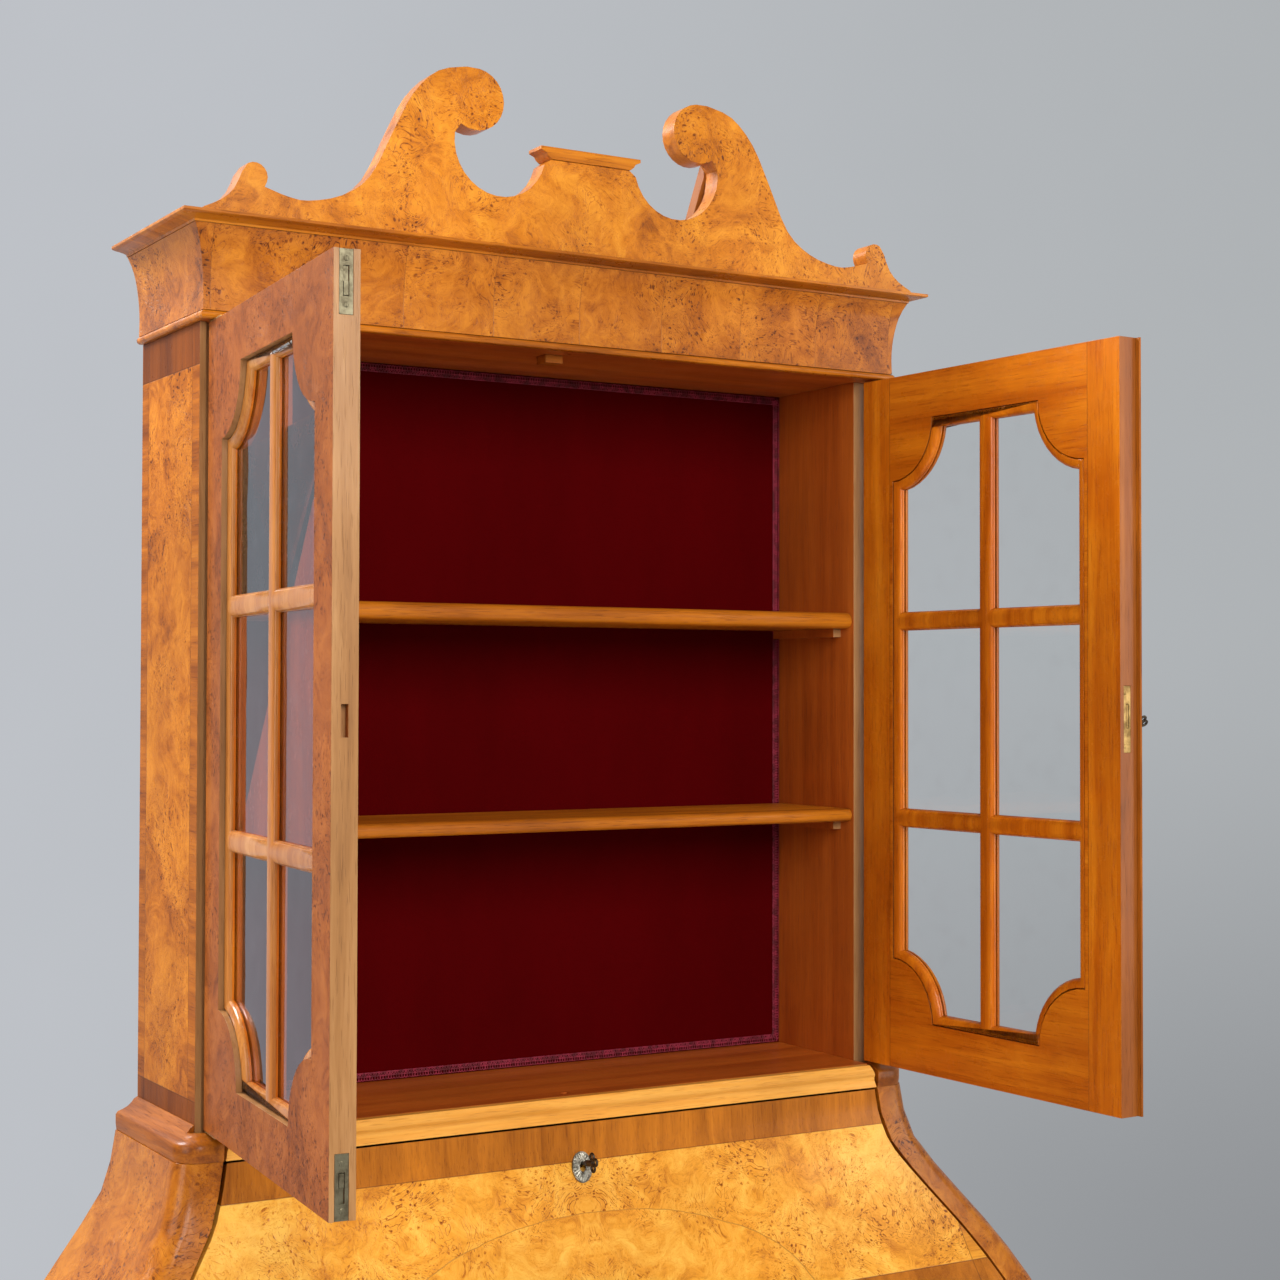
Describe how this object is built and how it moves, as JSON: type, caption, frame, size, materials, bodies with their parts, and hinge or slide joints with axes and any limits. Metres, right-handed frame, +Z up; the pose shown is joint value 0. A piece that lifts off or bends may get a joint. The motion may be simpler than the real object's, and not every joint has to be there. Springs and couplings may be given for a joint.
{
  "type": "secretary desk",
  "caption": "Bombe fall-front writing desk in walnut burl with a glazed two-door cabinet above and a swan-neck pediment.",
  "frame": {"origin": "centre of the piece's bounding box at floor level, doors open as at rest", "axes": "+Z up, +X to the right of someone facing the desk, -Y towards them"},
  "size_m": [1.29, 0.6861, 2.309],
  "materials": {
    "burl_veneer": "French-polished walnut burl veneer",
    "walnut_solid": "polished solid walnut",
    "pale_moulding": "polished straight-grained moulding",
    "stained_board": "stained and waxed board",
    "back_wood": "planed softwood",
    "velvet": "crimson velvet",
    "braid": "woven gimp braid",
    "door_glass": "clear window glass",
    "brass": "aged brass",
    "old_steel": "worn plated steel",
    "iron": "dark iron",
    "silvered": "silvered cast metal"
  },
  "bodies": {
    "carcass": {"upper_side_left": "burl_veneer", "upper_side_right": "burl_veneer", "upper_floor_board": "stained_board", "upper_ceiling_board": "stained_board", "upper_back_board": "back_wood", "velvet_lining": "velvet", "gimp_braid": "braid", "shelf_upper": "walnut_solid", "shelf_lower": "walnut_solid", "door_stop_block": "walnut_solid", "cornice_bead": "walnut_solid", "cornice_frieze": "burl_veneer", "crown_moulding": "walnut_solid", "cornice_dust_board": "back_wood", "pediment_board": "burl_veneer", "pediment_cap": "walnut_solid", "pediment_brace": "back_wood", "desk_top_board": "walnut_solid", "front_moulding": "pale_moulding", "side_moulding_left": "walnut_solid", "side_moulding_right": "walnut_solid", "desk_side_left": "burl_veneer", "desk_side_right": "burl_veneer", "corner_post_left": "burl_veneer", "corner_post_right": "burl_veneer", "desk_back_board": "back_wood", "writing_board": "walnut_solid", "gallery": "walnut_solid", "drawer_case": "walnut_solid", "base_plinth": "walnut_solid"},
    "left_door": {"door_frame_left": "burl_veneer", "glazing_bars_left": "walnut_solid", "glass_left": "door_glass", "knife_hinge_left_top": "brass", "knife_hinge_left_bottom": "brass", "flush_plate_top": "old_steel", "flush_plate_bottom": "old_steel"},
    "top_bolt": {"flush_bolt_top": "old_steel"},
    "bottom_bolt": {"flush_bolt_bottom": "old_steel"},
    "right_door": {"door_frame_right": "burl_veneer", "glazing_bars_right": "walnut_solid", "glass_right": "door_glass", "knife_hinge_right_top": "brass", "knife_hinge_right_bottom": "brass", "door_astragal": "walnut_solid", "door_lock": "brass"},
    "lock_bolt": {"door_lock_bolt": "brass"},
    "door_key": {"door_key": "iron"},
    "fall": {"fall_front": "burl_veneer", "fall_escutcheon": "silvered"},
    "fall_key": {"fall_key": "iron"},
    "loper_left": {"loper_left": "walnut_solid"},
    "loper_right": {"loper_right": "walnut_solid"},
    "gallery_drawer_left": {"gallery_drawer_left": "walnut_solid"},
    "gallery_drawer_middle": {"gallery_drawer_middle": "walnut_solid"},
    "gallery_drawer_right": {"gallery_drawer_right": "walnut_solid"},
    "long_drawer_1": {"long_drawer_1": "burl_veneer"},
    "long_drawer_2": {"long_drawer_2": "burl_veneer"},
    "long_drawer_3": {"long_drawer_3": "burl_veneer"}
  },
  "joints": [
    {"name": "left_door_swing", "type": "hinge", "parent": "carcass", "child": "left_door", "pos_m": [-0.4652, 0.12707, 1.534], "axis": [0, 0, 1], "range_deg": [-74.5, 95.5]},
    {"name": "right_door_swing", "type": "hinge", "parent": "carcass", "child": "right_door", "pos_m": [0.4652, 0.12707, 1.534], "axis": [0, 0, 1], "range_deg": [-92.4, 77.6]},
    {"name": "top_bolt_slide", "type": "slide", "parent": "left_door", "child": "top_bolt", "axis": [0, 0, 1], "range_m": [0, 0.0145]},
    {"name": "bottom_bolt_slide", "type": "slide", "parent": "left_door", "child": "bottom_bolt", "axis": [0, 0, -1], "range_m": [0, 0.0145]},
    {"name": "door_key_turn", "type": "hinge", "parent": "right_door", "child": "door_key", "pos_m": [0.48717, -0.3184, 1.536], "axis": [0.9991, 0.0419, 0], "range_deg": [0, 180]},
    {"name": "lock_bolt_slide", "type": "slide", "parent": "right_door", "child": "lock_bolt", "axis": [0.0419, -0.9991, 0], "range_m": [0, 0.0081]},
    {"name": "fall_drop", "type": "hinge", "parent": "carcass", "child": "fall", "pos_m": [0, 0.02407, 0.79], "axis": [1, 0, 0], "range_deg": [0, 117.25]},
    {"name": "fall_key_turn", "type": "hinge", "parent": "fall", "child": "fall_key", "pos_m": [0, 0.10612, 0.999], "axis": [0, -0.9763, 0.2164], "range_deg": [0, 180]},
    {"name": "loper_left_slide", "type": "slide", "parent": "carcass", "child": "loper_left", "axis": [0, -1, 0], "range_m": [0, 0.25]},
    {"name": "loper_right_slide", "type": "slide", "parent": "carcass", "child": "loper_right", "axis": [0, -1, 0], "range_m": [0, 0.25]},
    {"name": "gallery_drawer_left_slide", "type": "slide", "parent": "carcass", "child": "gallery_drawer_left", "axis": [0, -1, 0], "range_m": [0, 0.07]},
    {"name": "gallery_drawer_middle_slide", "type": "slide", "parent": "carcass", "child": "gallery_drawer_middle", "axis": [0, -1, 0], "range_m": [0, 0.07]},
    {"name": "gallery_drawer_right_slide", "type": "slide", "parent": "carcass", "child": "gallery_drawer_right", "axis": [0, -1, 0], "range_m": [0, 0.07]},
    {"name": "long_drawer_1_slide", "type": "slide", "parent": "carcass", "child": "long_drawer_1", "axis": [0, -1, 0], "range_m": [0, 0.3]},
    {"name": "long_drawer_2_slide", "type": "slide", "parent": "carcass", "child": "long_drawer_2", "axis": [0, -1, 0], "range_m": [0, 0.26]},
    {"name": "long_drawer_3_slide", "type": "slide", "parent": "carcass", "child": "long_drawer_3", "axis": [0, -1, 0], "range_m": [0, 0.22]}
  ],
  "couplings": [
    {"joint": "lock_bolt_slide", "follows": "door_key_turn", "m_per_rad": 0.002546}
  ]
}
